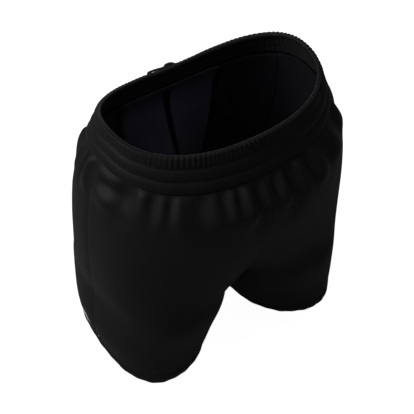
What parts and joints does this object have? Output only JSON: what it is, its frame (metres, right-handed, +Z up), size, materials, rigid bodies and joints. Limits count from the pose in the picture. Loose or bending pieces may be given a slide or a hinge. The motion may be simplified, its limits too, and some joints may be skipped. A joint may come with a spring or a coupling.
{
  "type": "padded over-shorts",
  "caption": "Loose woven sports over-shorts in worn shape, with a gathered elastic waistband, tied drawstring, close inner liner with pouch, and soft impact pads between the layers.",
  "frame": {"origin": "centre of the waist opening, level with the mean height of its rim", "axes": "+Z up, the wearer faces -Y, the wearer's left is +X"},
  "size_m": [0.384, 0.2836, 0.4342],
  "materials": {
    "shell_fabric": "smooth woven, slight sheen",
    "facing_knit": "ribbed knit",
    "elastic": "ribbed elastic",
    "eyelet_metal": "satin black",
    "cord": "braided cord",
    "tip_plastic": "matte",
    "liner_perforated": "perforated knit, dark navy",
    "liner_knit": "smooth knit",
    "tape": "flat woven tape",
    "reflective_film": "retro-reflective film",
    "pad_foam": "perforated foam"
  },
  "bodies": {
    "shorts": {"drawstring_knot": "cord", "drawstring_run": "cord", "elastic_lower": "elastic", "elastic_middle": "elastic", "elastic_upper": "elastic", "left_back_hem": "shell_fabric", "left_back_panel": "shell_fabric", "left_eyelet": "eyelet_metal", "left_front_hem": "shell_fabric", "left_front_panel": "shell_fabric", "left_hip_pad": "pad_foam", "left_inner_thigh_gusset": "liner_knit", "left_liner_back_panel": "liner_knit", "left_liner_cuff": "elastic", "left_liner_front_thigh": "liner_knit", "left_liner_hip_panel": "liner_perforated", "left_pouch": "liner_perforated", "left_pouch_edge_tape": "tape", "left_reflective_bars": "reflective_film", "left_seat_pad": "pad_foam", "left_thigh_pad": "pad_foam", "pouch_centre_tape": "tape", "right_back_hem": "shell_fabric", "right_back_panel": "shell_fabric", "right_eyelet": "eyelet_metal", "right_front_hem": "shell_fabric", "right_front_panel": "shell_fabric", "right_hip_pad": "pad_foam", "right_inner_thigh_gusset": "liner_knit", "right_liner_back_panel": "liner_knit", "right_liner_cuff": "elastic", "right_liner_front_thigh": "liner_knit", "right_liner_hip_panel": "liner_perforated", "right_pouch": "liner_perforated", "right_pouch_edge_tape": "tape", "right_seat_pad": "pad_foam", "right_thigh_pad": "pad_foam", "tailbone_pad": "pad_foam", "waistband_casing": "shell_fabric", "waistband_facing": "facing_knit"},
    "left_tail": {"left_tail_cord": "cord", "left_cord_tip": "tip_plastic"},
    "right_tail": {"right_tail_cord": "cord", "right_cord_tip": "tip_plastic"}
  },
  "joints": [
    {"name": "left_tail_swing", "type": "hinge", "parent": "shorts", "child": "left_tail", "pos_m": [0.0102, -0.1016, -0.034], "axis": [-1, 0, 0], "range_deg": [0, 80]},
    {"name": "right_tail_swing", "type": "hinge", "parent": "shorts", "child": "right_tail", "pos_m": [-0.0102, -0.1012, -0.035], "axis": [-1, 0, 0], "range_deg": [0, 80]}
  ]
}
